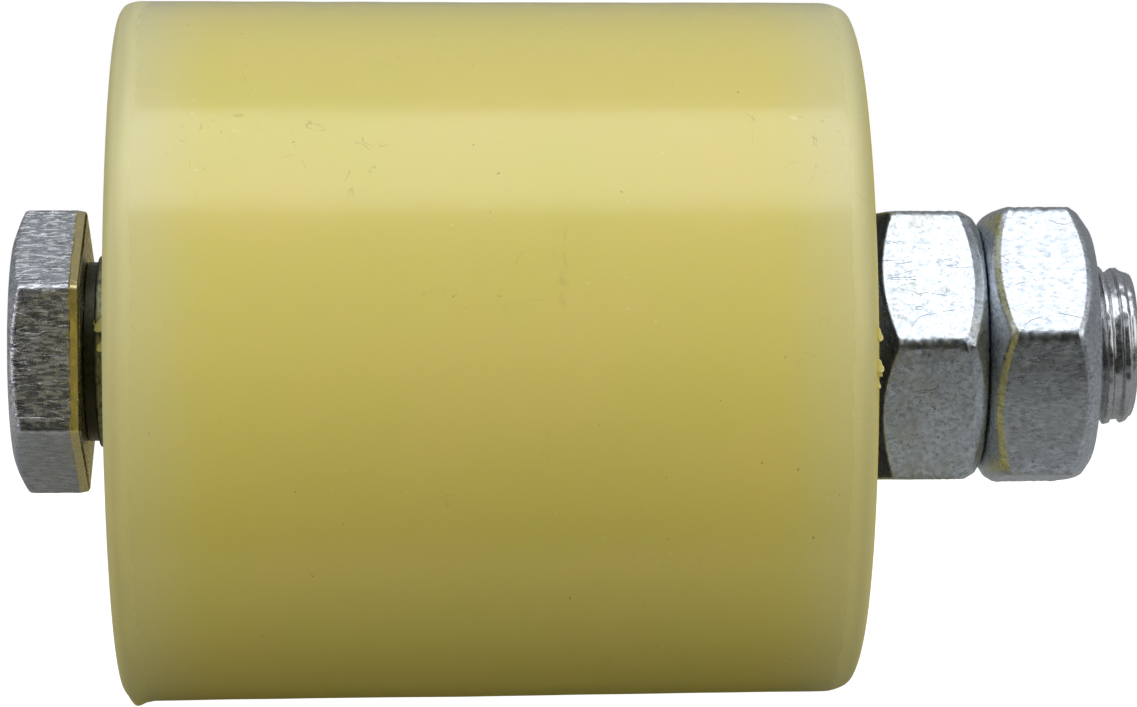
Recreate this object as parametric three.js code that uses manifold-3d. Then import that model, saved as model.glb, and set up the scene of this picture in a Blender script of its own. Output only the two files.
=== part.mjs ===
// Track roller: a moulded nylon roller on two sealed ball bearings, carried by a hex bolt with two jam nuts.
//
// Millimetres, +Z up. The origin is the middle of the roller, on the bolt's axis, and the roller spins
// about +Y. The bolt's head is at the -Y end. Its threaded end and both nuts are at the +Y end.
//
// Four groups hold the pieces that move together: what is clamped to the bolt, the roller with the
// bearings' outer rings and seals, and each bearing's cage with its balls.

import * as THREE from "three";
import { mergeVertices } from "three/addons/utils/BufferGeometryUtils.js";
import Module from "manifold-3d";

// ---- Driving dimensions --------------------------------------------------------------------------

const GAP = 0.05; // left between two pieces that touch

// Roller: nominal 50 mm, with the mould's draft from the head end down to the nut end
const ROLLER_LENGTH = 52.4;
const ROLLER_HEAD_END_RADIUS = 25.2;
const ROLLER_NUT_END_RADIUS = 24.85;
const ROLLER_HEAD_END_ROUND = 0.8;
const ROLLER_NUT_END_ROUND = 1.8;
const ROLLER_BORE_RADIUS = 13.5; // between the bearings: leaves a shoulder for each outer ring
const BEARING_RECESS = 1.2; // from the roller's end face in to the bearing
const SEAT_CHAMFER = 0.8;

// Bearings: 12 x 32 x 10 mm deep-groove, seven balls, a seal on both sides
const BEARING_BORE_RADIUS = 6;
const BEARING_RADIUS = 16;
const BEARING_WIDTH = 10;
const BEARING_CHAMFER = 0.5;
const PITCH_RADIUS = 11; // the circle that the balls' centres run on
const BALL_RADIUS = 2.976;
const BALLS_PER_BEARING = 7;
const GROOVE_RADIUS = 3.2; // both raceways, about the ball's centre
const INNER_SHOULDER_RADIUS = 9.15;
const OUTER_SHOULDER_RADIUS = 12.9;
const SEAL_SEAT_RADIUS = 13.9;
const SEAL_THICKNESS = 0.7;
const SEAL_RECESS = 0.4;
const SEAL_LIP_CLEARANCE = 0.15;
const CAGE_INNER_RADIUS = 10;
const CAGE_OUTER_RADIUS = 12;
const CAGE_HALF_WIDTH = 3.7;
const POCKET_RADIUS = 3.15;

// Hex bolt: M12 x 1.25 x 75, low head
const HEAD_ACROSS_FLATS = 17.85;
const HEAD_HEIGHT = 5.2;
const HEAD_BEARING_PLANE = -28.8;
const HEAD_LEAN = -3.7; // degrees that the head's +X flat is turned down
const HEAD_CHAMFER = { faceShare: 0.91, degrees: 21 };
const SHANK_RADIUS = 5.9;
const BOLT_LENGTH = 75.3; // under the head
const THREAD_LENGTH = 30;
const THREAD_PITCH = 1.25;
const THREAD_CREST_RADIUS = 5.75;
const THREAD_PITCH_RADIUS = 5.35;
const THREAD_ROOT_RADIUS = 5.05;
const THREAD_END_CHAMFER = 0.8;

// Jam nuts: thin, M12
const NUT_ACROSS_FLATS = 19.2;
const NUT_BORE_RADIUS = 5.45;
const INNER_NUT_START = 27.5;
const NUTS_MEET_AT = 35.4;
const OUTER_NUT_END = 43.4;
const INNER_NUT_LIFT = 1.1; // degrees that the +X corner is turned up
const OUTER_NUT_LIFT = 4.1;
const NUT_CHAMFER = { faceShare: 0.87, degrees: 35 };

// Collars and spacer clamped on the bolt with the inner rings
const HEAD_COLLAR_RADIUS = 6.9;
const HEAD_COLLAR_NECK_RADIUS = 6.45;
const HEAD_COLLAR_NECK_LENGTH = 0.8;
const HEAD_COLLAR_ROUND = 0.35;
const NUT_COLLAR_RADIUS = 8;
const NUT_COLLAR_CHAMFER = 0.3;
const SPACER_RADIUS = 8;

// Facets round each turned piece
const ROLLER_FACETS = 48;
const OUTER_RING_FACETS = 36;
const INNER_RING_FACETS = 30;
const CAGE_FACETS = 28;
const BOLT_FACETS = 24;

// ---- Derived places ------------------------------------------------------------------------------

const ROLLER_END = ROLLER_LENGTH / 2;
const BEARING_OUTER_FACE = ROLLER_END - BEARING_RECESS;
const BEARING_INNER_FACE = BEARING_OUTER_FACE - BEARING_WIDTH;
const BEARING_CENTRE = BEARING_OUTER_FACE - BEARING_WIDTH / 2;
const BOLT_END = HEAD_BEARING_PLANE + BOLT_LENGTH;
const THREAD_START = BOLT_END - THREAD_LENGTH;

// ---- Materials -----------------------------------------------------------------------------------

const finish = (color, roughness, metalness) => () =>
  new THREE.MeshStandardMaterial({ color, roughness, metalness });

const nylon = finish(0xcabf78, 0.42, 0);
const zincPlatedSteel = finish(0xb9bcc0, 0.38, 1);
const bearingSteel = finish(0xc4c6c8, 0.2, 1);
const pressedSteel = finish(0x9b9da0, 0.35, 1);
const sealRubber = finish(0x1c1c1d, 0.7, 0);

// ---- Solids --------------------------------------------------------------------------------------

const wasm = await Module();
wasm.setup();

function toSolid(geometry) {
  const bare = geometry.clone();
  bare.deleteAttribute("normal");
  bare.deleteAttribute("uv");
  const merged = mergeVertices(bare, 1e-4);
  return new wasm.Manifold(
    new wasm.Mesh({
      numProp: 3,
      vertProperties: merged.attributes.position.array,
      triVerts: new Uint32Array(merged.index.array),
    }),
  );
}

function toGeometry(solid) {
  const mesh = solid.getMesh();
  const geometry = new THREE.BufferGeometry();
  geometry.setAttribute("position", new THREE.BufferAttribute(mesh.vertProperties, 3));
  geometry.setIndex(new THREE.BufferAttribute(mesh.triVerts, 1));
  geometry.computeVertexNormals();
  return geometry;
}

// A profile is a list of [radius, y] points, run anticlockwise so that the turned surface faces out.
const turned = (profile, facets) =>
  new THREE.LatheGeometry(
    profile.map(([radius, y]) => new THREE.Vector2(radius, y)),
    facets,
  );

const turnedRing = (profile, facets) => turned([...profile, profile[0]], facets);

// Points of an arc about [radius, y], from one angle to another in degrees, 0 pointing away from the axis.
function arc([centreRadius, centreY], radius, fromDegrees, toDegrees, steps) {
  return Array.from({ length: steps + 1 }, (_, i) => {
    const angle = THREE.MathUtils.degToRad(
      fromDegrees + ((toDegrees - fromDegrees) * i) / steps,
    );
    return [
      centreRadius + radius * Math.cos(angle),
      centreY + radius * Math.sin(angle),
    ];
  });
}

// A plain ring with a rectangular section.
const plainRing = (innerRadius, outerRadius, fromY, toY, facets) =>
  turnedRing(
    [
      [innerRadius, fromY],
      [outerRadius, fromY],
      [outerRadius, toY],
      [innerRadius, toY],
    ],
    facets,
  );

// A hexagonal prism along Y. turn is the angle in degrees from +X up to its first corner.
function hexPrism(acrossFlats, fromY, toY, turn, boreRadius) {
  const cornerRadius = acrossFlats / 2 / Math.cos(Math.PI / 6);
  const corners = Array.from({ length: 6 }, (_, i) => {
    const angle = THREE.MathUtils.degToRad(turn + 60 * i);
    return new THREE.Vector2(
      cornerRadius * Math.cos(angle),
      cornerRadius * Math.sin(angle),
    );
  });
  const outline = new THREE.Shape(corners);
  if (boreRadius) {
    outline.holes.push(new THREE.Path().absarc(0, 0, boreRadius, 0, 2 * Math.PI, true));
  }
  return new THREE.ExtrudeGeometry(outline, {
    depth: toY - fromY,
    bevelEnabled: false,
    curveSegments: BOLT_FACETS,
  })
    .rotateX(Math.PI / 2)
    .translate(0, toY, 0);
}

// A turned block that a hexagon is cut down to, so that its corners are chamfered at the -Y end and,
// for a nut, at the +Y end too. faceShare is the chamfer's circle on the end face, as a share of the
// width across flats, and degrees is its slope.
function chamferBlock(acrossFlats, fromY, toY, { faceShare, degrees }, bothEnds) {
  const faceRadius = (acrossFlats / 2) * faceShare;
  const clearRadius = acrossFlats * 0.62;
  const drop = (clearRadius - faceRadius) * Math.tan(THREE.MathUtils.degToRad(degrees));
  const farEnd = bothEnds
    ? [[clearRadius, toY - drop], [faceRadius, toY]]
    : [[clearRadius, toY]];
  return turned(
    [[0, fromY], [faceRadius, fromY], [clearRadius, fromY + drop], ...farEnd, [0, toY]],
    2 * BOLT_FACETS,
  );
}

// ---- Roller --------------------------------------------------------------------------------------

function rollerGeometry() {
  const seatRadius = BEARING_RADIUS + GAP;
  const shoulder = BEARING_INNER_FACE - GAP;
  const headRound = ROLLER_HEAD_END_ROUND;
  const nutRound = ROLLER_NUT_END_ROUND;
  return turnedRing(
    [
      [seatRadius + SEAT_CHAMFER, -ROLLER_END],
      ...arc([ROLLER_HEAD_END_RADIUS - headRound, -ROLLER_END + headRound], headRound, -90, 0, 3),
      ...arc([ROLLER_NUT_END_RADIUS - nutRound, ROLLER_END - nutRound], nutRound, 0, 90, 4),
      [seatRadius + SEAT_CHAMFER, ROLLER_END],
      [seatRadius, ROLLER_END - SEAT_CHAMFER],
      [seatRadius, shoulder],
      [ROLLER_BORE_RADIUS, shoulder],
      [ROLLER_BORE_RADIUS, -shoulder],
      [seatRadius, -shoulder],
      [seatRadius, -ROLLER_END + SEAT_CHAMFER],
    ],
    ROLLER_FACETS,
  );
}

// ---- Bearings, each modelled about its own centre ------------------------------------------------

const HALF_WIDTH = BEARING_WIDTH / 2;

function innerRingGeometry() {
  const edge = Math.acos((PITCH_RADIUS - INNER_SHOULDER_RADIUS) / GROOVE_RADIUS);
  const edgeDegrees = THREE.MathUtils.radToDeg(edge);
  return turnedRing(
    [
      [BEARING_BORE_RADIUS, -HALF_WIDTH + BEARING_CHAMFER],
      [BEARING_BORE_RADIUS + BEARING_CHAMFER, -HALF_WIDTH],
      [INNER_SHOULDER_RADIUS, -HALF_WIDTH],
      ...arc([PITCH_RADIUS, 0], GROOVE_RADIUS, 180 + edgeDegrees, 180 - edgeDegrees, 4),
      [INNER_SHOULDER_RADIUS, HALF_WIDTH],
      [BEARING_BORE_RADIUS + BEARING_CHAMFER, HALF_WIDTH],
      [BEARING_BORE_RADIUS, HALF_WIDTH - BEARING_CHAMFER],
    ],
    INNER_RING_FACETS,
  );
}

function outerRingGeometry() {
  const edge = Math.acos((OUTER_SHOULDER_RADIUS - PITCH_RADIUS) / GROOVE_RADIUS);
  const edgeDegrees = THREE.MathUtils.radToDeg(edge);
  const sealSeat = HALF_WIDTH - SEAL_RECESS - SEAL_THICKNESS - GAP;
  return turnedRing(
    [
      [OUTER_SHOULDER_RADIUS, -sealSeat],
      [SEAL_SEAT_RADIUS, -sealSeat],
      [SEAL_SEAT_RADIUS, -HALF_WIDTH],
      [BEARING_RADIUS - BEARING_CHAMFER, -HALF_WIDTH],
      [BEARING_RADIUS, -HALF_WIDTH + BEARING_CHAMFER],
      [BEARING_RADIUS, HALF_WIDTH - BEARING_CHAMFER],
      [BEARING_RADIUS - BEARING_CHAMFER, HALF_WIDTH],
      [SEAL_SEAT_RADIUS, HALF_WIDTH],
      [SEAL_SEAT_RADIUS, sealSeat],
      [OUTER_SHOULDER_RADIUS, sealSeat],
      ...arc([PITCH_RADIUS, 0], GROOVE_RADIUS, edgeDegrees, -edgeDegrees, 4),
    ],
    OUTER_RING_FACETS,
  );
}

// The seal lies just inside the bearing's face at +Y or -Y.
function sealGeometry(side) {
  const outside = side * (HALF_WIDTH - SEAL_RECESS);
  const inside = outside - side * SEAL_THICKNESS;
  return plainRing(
    INNER_SHOULDER_RADIUS + SEAL_LIP_CLEARANCE,
    SEAL_SEAT_RADIUS - 2 * GAP,
    Math.min(outside, inside),
    Math.max(outside, inside),
    OUTER_RING_FACETS,
  );
}

const ballAngle = (i) => (2 * Math.PI * i) / BALLS_PER_BEARING;

function cageGeometry() {
  let cage = toSolid(
    plainRing(
      CAGE_INNER_RADIUS,
      CAGE_OUTER_RADIUS,
      -CAGE_HALF_WIDTH,
      CAGE_HALF_WIDTH,
      CAGE_FACETS,
    ),
  );
  const pocketLength = 2 * (CAGE_OUTER_RADIUS - CAGE_INNER_RADIUS);
  for (let i = 0; i < BALLS_PER_BEARING; i++) {
    const pocket = new THREE.CylinderGeometry(POCKET_RADIUS, POCKET_RADIUS, pocketLength, 12)
      .rotateZ(Math.PI / 2)
      .translate(PITCH_RADIUS, 0, 0)
      .rotateY(ballAngle(i));
    cage = cage.subtract(toSolid(pocket));
  }
  return toGeometry(cage);
}

// ---- Bolt, nuts, collars and spacer --------------------------------------------------------------

function boltGeometry() {
  const headStart = HEAD_BEARING_PLANE - HEAD_HEIGHT;
  const head = toSolid(
    hexPrism(HEAD_ACROSS_FLATS, headStart, HEAD_BEARING_PLANE, 30 + HEAD_LEAN),
  ).intersect(
    toSolid(
      chamferBlock(HEAD_ACROSS_FLATS, headStart, HEAD_BEARING_PLANE, HEAD_CHAMFER, false),
    ),
  );

  // The thread shows only past the outer nut, as ridges. It is plain at its pitch radius inside the
  // nuts, and at its crests where it runs through the bearing and the collar.
  const ridges = [];
  const ridgeStart = OUTER_NUT_END + 0.1;
  const ridgeEnd = BOLT_END - THREAD_END_CHAMFER;
  for (let y = ridgeStart; y + THREAD_PITCH <= ridgeEnd; y += THREAD_PITCH) {
    ridges.push([THREAD_ROOT_RADIUS, y]);
    ridges.push([THREAD_CREST_RADIUS, y + THREAD_PITCH * 0.4]);
    ridges.push([THREAD_CREST_RADIUS, y + THREAD_PITCH * 0.6]);
  }
  const shaft = toSolid(
    turned(
      [
        [0, headStart + HEAD_HEIGHT / 2],
        [SHANK_RADIUS, headStart + HEAD_HEIGHT / 2],
        [SHANK_RADIUS, THREAD_START],
        [THREAD_CREST_RADIUS, THREAD_START + GAP],
        [THREAD_CREST_RADIUS, INNER_NUT_START - 2 * GAP],
        [THREAD_PITCH_RADIUS, INNER_NUT_START - GAP],
        [THREAD_PITCH_RADIUS, OUTER_NUT_END + GAP],
        ...ridges,
        [THREAD_ROOT_RADIUS, ridgeEnd],
        [THREAD_ROOT_RADIUS, BOLT_END - THREAD_END_CHAMFER / 2],
        [THREAD_ROOT_RADIUS - THREAD_END_CHAMFER / 2, BOLT_END],
        [0, BOLT_END],
      ],
      BOLT_FACETS,
    ),
  );
  return toGeometry(head.add(shaft));
}

const nutGeometry = (fromY, toY, lift) =>
  toGeometry(
    toSolid(hexPrism(NUT_ACROSS_FLATS, fromY, toY, lift, NUT_BORE_RADIUS)).intersect(
      toSolid(chamferBlock(NUT_ACROSS_FLATS, fromY, toY, NUT_CHAMFER, true)),
    ),
  );

// A stepped collar: its narrow neck bears on the bolt's head and its wide end on the inner ring.
function headCollarGeometry() {
  const start = HEAD_BEARING_PLANE + GAP;
  const neckEnd = start + HEAD_COLLAR_NECK_LENGTH;
  const round = HEAD_COLLAR_ROUND;
  return turnedRing(
    [
      [BEARING_BORE_RADIUS, start],
      [HEAD_COLLAR_NECK_RADIUS, start],
      [HEAD_COLLAR_NECK_RADIUS, neckEnd],
      ...arc([HEAD_COLLAR_RADIUS - round, neckEnd + round], round, -90, 0, 3),
      [HEAD_COLLAR_RADIUS, -BEARING_OUTER_FACE - GAP],
      [BEARING_BORE_RADIUS, -BEARING_OUTER_FACE - GAP],
    ],
    INNER_RING_FACETS,
  );
}

function nutCollarGeometry() {
  const start = BEARING_OUTER_FACE + GAP;
  const end = INNER_NUT_START - GAP;
  const chamfer = NUT_COLLAR_CHAMFER;
  return turnedRing(
    [
      [BEARING_BORE_RADIUS, start],
      [NUT_COLLAR_RADIUS - chamfer, start],
      [NUT_COLLAR_RADIUS, start + chamfer],
      [NUT_COLLAR_RADIUS, end - chamfer],
      [NUT_COLLAR_RADIUS - chamfer, end],
      [BEARING_BORE_RADIUS, end],
    ],
    INNER_RING_FACETS,
  );
}

const spacerGeometry = () =>
  plainRing(
    BEARING_BORE_RADIUS,
    SPACER_RADIUS,
    -BEARING_INNER_FACE + GAP,
    BEARING_INNER_FACE - GAP,
    INNER_RING_FACETS,
  );

// ---- Assembly ------------------------------------------------------------------------------------

function piece(name, geometry, material) {
  const mesh = new THREE.Mesh(geometry, material());
  mesh.name = name;
  return mesh;
}

// Adds one bearing's pieces to the groups they move with. side is -1 at the head and +1 at the nuts.
function addBearing(name, side, bolted, rolling, cage) {
  const centre = side * BEARING_CENTRE;
  const place = (mesh) => {
    mesh.position.y = centre;
    return mesh;
  };
  bolted.add(place(piece(`${name}_inner_ring`, innerRingGeometry(), bearingSteel)));
  rolling.add(
    place(piece(`${name}_outer_ring`, outerRingGeometry(), bearingSteel)),
    place(piece(`${name}_outboard_seal`, sealGeometry(side), sealRubber)),
    place(piece(`${name}_inboard_seal`, sealGeometry(-side), sealRubber)),
  );
  cage.add(place(piece(`${name}_cage`, cageGeometry(), pressedSteel)));
  for (let i = 0; i < BALLS_PER_BEARING; i++) {
    const ball = piece(
      `${name}_ball_${i + 1}`,
      new THREE.SphereGeometry(BALL_RADIUS, 10, 7),
      bearingSteel,
    );
    ball.position.set(
      PITCH_RADIUS * Math.cos(ballAngle(i)),
      centre,
      -PITCH_RADIUS * Math.sin(ballAngle(i)),
    );
    cage.add(ball);
  }
}

const trackRoller = new THREE.Group();
const bolted = new THREE.Group();
const rolling = new THREE.Group();
const headCage = new THREE.Group();
const nutCage = new THREE.Group();
trackRoller.add(bolted, rolling, headCage, nutCage);

bolted.add(
  piece("hex_bolt", boltGeometry(), zincPlatedSteel),
  piece("head_collar", headCollarGeometry(), zincPlatedSteel),
  piece("bearing_spacer", spacerGeometry(), zincPlatedSteel),
  piece("nut_collar", nutCollarGeometry(), zincPlatedSteel),
  piece(
    "inner_jam_nut",
    nutGeometry(INNER_NUT_START, NUTS_MEET_AT - GAP / 2, INNER_NUT_LIFT),
    zincPlatedSteel,
  ),
  piece(
    "outer_jam_nut",
    nutGeometry(NUTS_MEET_AT + GAP / 2, OUTER_NUT_END, OUTER_NUT_LIFT),
    zincPlatedSteel,
  ),
);
rolling.add(piece("roller_body", rollerGeometry(), nylon));
addBearing("head_bearing", -1, bolted, rolling, headCage);
addBearing("nut_bearing", 1, bolted, rolling, nutCage);

export default trackRoller;
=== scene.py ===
import math

import bpy
import numpy as np
from mathutils import Matrix, Vector


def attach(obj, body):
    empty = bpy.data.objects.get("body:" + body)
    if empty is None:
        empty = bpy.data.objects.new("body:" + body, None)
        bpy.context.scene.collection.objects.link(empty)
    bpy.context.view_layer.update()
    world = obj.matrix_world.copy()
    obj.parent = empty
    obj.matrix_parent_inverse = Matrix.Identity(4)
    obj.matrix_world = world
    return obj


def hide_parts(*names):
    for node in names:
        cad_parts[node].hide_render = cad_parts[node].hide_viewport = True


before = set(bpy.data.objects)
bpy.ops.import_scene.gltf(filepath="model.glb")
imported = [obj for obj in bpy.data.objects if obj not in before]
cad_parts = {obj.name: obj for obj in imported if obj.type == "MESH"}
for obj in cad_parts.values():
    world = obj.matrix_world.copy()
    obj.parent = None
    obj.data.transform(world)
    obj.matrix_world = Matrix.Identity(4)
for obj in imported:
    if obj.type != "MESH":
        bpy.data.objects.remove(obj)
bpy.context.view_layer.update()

# Lengths below are in millimetres, in the CAD frame: +Y runs along the bolt from its head to its nuts,
# and +X faces the camera. Meshes are scaled to metres as they are made.
MM = 0.001

# ---- Camera -----------------------------------------------------------------------------------------

CAMERA_PLACE = (341.6, -4.0, -0.35)
CAMERA_YAW = math.radians(1.644)
CAMERA_ROLL = math.radians(-0.345)
CAMERA_LENS = 149.57

ahead = Vector((-math.cos(CAMERA_YAW), math.sin(CAMERA_YAW), 0))
level_right = ahead.cross(Vector((0, 0, 1))).normalized()
level_up = level_right.cross(ahead)
right = level_right * math.cos(CAMERA_ROLL) + level_up * math.sin(CAMERA_ROLL)
up = level_up * math.cos(CAMERA_ROLL) - level_right * math.sin(CAMERA_ROLL)

camera_data = bpy.data.cameras.new("camera")
camera_data.lens = CAMERA_LENS
camera_data.sensor_width = 36
camera_data.sensor_fit = "HORIZONTAL"
camera_data.clip_start = 0.01
camera = bpy.data.objects.new("camera", camera_data)
bpy.context.scene.collection.objects.link(camera)
camera_turn = Matrix((right, up, -ahead)).transposed().to_4x4()
camera.matrix_world = Matrix.Translation(Vector(CAMERA_PLACE) * MM) @ camera_turn
bpy.context.scene.camera = camera
bpy.context.scene.view_settings.view_transform = "Standard"

# ---- Sizes, as in the CAD ---------------------------------------------------------------------------

ROLLER_END = 26.2
HEAD_END_RADIUS = 25.2
NUT_END_RADIUS = 24.85
BEARING_FACE = 25.0
BEARING_HALF = 5.0
PITCH_RADIUS = 11.0
GROOVE_RADIUS = 3.2
BALL_RADIUS = 2.976
BALLS = 7
HEAD_FLATS = 17.85
HEAD_OUTER = -34.0
HEAD_BEARING_PLANE = -28.8
SHANK_RADIUS = 5.9
BOLT_END = 46.5
THREAD_START = 16.5
THREAD_PITCH = 1.25
THREAD_CREST = 5.75
THREAD_ROOT = 5.05
ROWS_PER_PITCH = 14
NUT_FLATS = 19.2
INNER_NUT = (27.5, 35.375)
OUTER_NUT = (35.425, 43.4)
COLLAR_BORE = 6.0
# How far each hexagon is turned: its first corner, in degrees from +X towards +Z
FIRST_HEAD_CORNER = 26.3
FIRST_INNER_NUT_CORNER = 1.1
FIRST_OUTER_NUT_CORNER = 4.1

# ---- Mesh helpers -----------------------------------------------------------------------------------


def ripple(seed, along, around, wavelength, most_turns, waves=9):
    """Smooth unevenness of about -1 to 1, along the axis in millimetres and round it in radians."""
    draw = np.random.default_rng(seed)
    total = 0
    for _ in range(waves):
        turns = int(draw.integers(-most_turns, most_turns + 1))
        rate = draw.uniform(-1, 1) * 2 * math.pi / wavelength
        total = total + np.sin(turns * around + rate * along + draw.uniform(0, 2 * math.pi))
    return total / math.sqrt(waves)


def smooth_step(value, low, high):
    share = np.clip((value - low) / (high - low), 0, 1)
    return share * share * (3 - 2 * share)


def even_angles(columns):
    return np.arange(columns) * 2 * math.pi / columns


def rounded(corners, rounds, columns, closed=True, steps=5):
    """Section rows through (radius, y) corners, as an array [row, radius or y, column].

    A corner with a round turns into a short curve that starts that far before it, with a supporting
    row just outside each end of the curve so that the flats beside it shade flat.
    """
    full = [[np.broadcast_to(value, columns) for value in corner] for corner in corners]
    points = np.array(full, float)
    rows = []
    for i, here in enumerate(points):
        is_end = not closed and i in (0, len(points) - 1)
        if rounds[i] == 0 or is_end:
            rows.append(here)
            continue
        before = points[i - 1] - here
        after = points[(i + 1) % len(points)] - here
        before_length = np.linalg.norm(before, axis=0)
        after_length = np.linalg.norm(after, axis=0)
        reach = np.minimum(rounds[i], 0.42 * np.minimum(before_length, after_length))
        before = before / before_length * reach
        after = after / after_length * reach
        rows.append(here + 1.12 * before)
        for share in np.linspace(0, 1, steps):
            rows.append(here + (1 - share) ** 2 * before + share**2 * after)
        rows.append(here + 1.12 * after)
    return np.array(rows)


def refined(rows, longest, closed=True):
    """The same rows with more between them, so that no step is longer than longest."""
    made = []
    for i, here in enumerate(rows):
        made.append(here)
        if i == len(rows) - 1 and not closed:
            break
        step = rows[(i + 1) % len(rows)] - here
        pieces = int(np.ceil(np.linalg.norm(step, axis=0).max() / longest))
        for k in range(1, pieces):
            made.append(here + step * k / pieces)
    return np.array(made)


def swept(points, closed, slots=None):
    """A closed part from an array of points [row, column, xyz] whose columns close on themselves.

    If the rows don't close too, each end is capped. slots gives each row's material slot.
    """
    rows, columns, _ = points.shape
    row = np.arange(rows if closed else rows - 1)[:, None]
    column = np.arange(columns)[None, :]
    next_row = (row + 1) % rows
    next_column = (column + 1) % columns
    quads = np.stack(
        [
            row * columns + column,
            next_row * columns + column,
            next_row * columns + next_column,
            row * columns + next_column,
        ],
        axis=-1,
    ).reshape(-1, 4)
    faces = quads.tolist()
    face_slots = np.zeros(len(row), int) if slots is None else np.asarray(slots)[: len(row)]
    face_slots = np.repeat(face_slots, columns).tolist()
    if not closed:
        faces.append(list(range(columns))[::-1])
        faces.append([(rows - 1) * columns + c for c in range(columns)])
        face_slots += [face_slots[0], face_slots[-1]]
    vertices = points.reshape(-1, 3)
    a, b, c, d = (vertices[quads[:, k]] for k in range(4))
    volume = np.einsum("ij,ij->", a, np.cross(b, c)) + np.einsum("ij,ij->", a, np.cross(c, d))
    if not closed:
        for cap in faces[-2:]:
            hub, rim = vertices[cap[0]], vertices[cap[1:]]
            volume += (np.cross(rim[:-1], rim[1:]) @ hub).sum()
    if volume < 0:
        faces = [face[::-1] for face in faces]
    return vertices, faces, face_slots


def turned(rows, angles, closed=True, slots=None, centre=0.0):
    """A part turned about the bolt's axis from section rows [row, radius or y, column]."""
    radius, y = rows[:, 0], rows[:, 1] + centre
    points = np.stack([radius * np.cos(angles), y, radius * np.sin(angles)], axis=-1)
    return swept(points, closed, slots)


def plain_ring(corners, rounds, centre=0.0):
    """A ring turned from (radius, y) corners that are the same all the way round."""
    columns = 144
    return turned(rounded(corners, rounds, columns), even_angles(columns), centre=centre)


def add_piece(name, parts, materials, body, replaces=()):
    """Makes one object from parts, puts it on a body to ride on, and hides the CAD nodes it stands for."""
    vertices, faces, slots = [], [], []
    for part_vertices, part_faces, part_slots in parts:
        first = len(vertices)
        vertices += (part_vertices * MM).tolist()
        faces += [[first + v for v in face] for face in part_faces]
        slots += part_slots
    mesh = bpy.data.meshes.new(name)
    mesh.from_pydata(vertices, [], faces)
    for material in materials:
        mesh.materials.append(material)
    mesh.polygons.foreach_set("material_index", slots)
    mesh.polygons.foreach_set("use_smooth", [True] * len(faces))
    mesh.update()
    piece = bpy.data.objects.new(name, mesh)
    bpy.context.scene.collection.objects.link(piece)
    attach(piece, body)
    if replaces:
        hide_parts(*replaces)
    return piece


# ---- Node helpers -----------------------------------------------------------------------------------


class Nodes:
    """Adds nodes to a tree and returns their outputs. Values are numbers or other nodes' outputs."""

    def __init__(self, tree):
        self.tree = tree

    def link(self, value, socket):
        if isinstance(value, bpy.types.NodeSocket):
            self.tree.links.new(value, socket)
        else:
            socket.default_value = value

    def link_colour(self, colour, socket):
        self.link(colour if isinstance(colour, bpy.types.NodeSocket) else (*colour, 1.0), socket)

    def split(self, vector):
        node = self.tree.nodes.new("ShaderNodeSeparateXYZ")
        self.link(vector, node.inputs[0])
        return node.outputs

    def math(self, operation, a, b=0.0):
        node = self.tree.nodes.new("ShaderNodeMath")
        node.operation = operation
        for value, socket in zip((a, b), node.inputs):
            self.link(value, socket)
        return node.outputs[0]

    def spread(self, value, low, high, to_low=0.0, to_high=1.0):
        """value from low to high, turned smoothly into to_low to to_high."""
        node = self.tree.nodes.new("ShaderNodeMapRange")
        node.interpolation_type = "SMOOTHSTEP"
        for given, socket in zip((value, low, high, to_low, to_high), node.inputs):
            self.link(given, socket)
        return node.outputs[0]

    def plain_shader(self, kind, colour, strength=None):
        node = self.tree.nodes.new(kind)
        self.link_colour(colour, node.inputs["Color"])
        if strength is not None:
            self.link(strength, node.inputs["Strength"])
        return node.outputs[0]

    def is_ray(self, kind):
        """1 on rays of one kind, such as Camera or Glossy, and 0 on the others."""
        return self.tree.nodes.new("ShaderNodeLightPath").outputs[f"Is {kind} Ray"]

    def by_ray(self, kind, shader, others):
        """One shader for rays of a kind, and another for all the others."""
        node = self.tree.nodes.new("ShaderNodeMixShader")
        for value, socket in zip((self.is_ray(kind), others, shader), node.inputs):
            self.tree.links.new(value, socket)
        return node.outputs[0]


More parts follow.
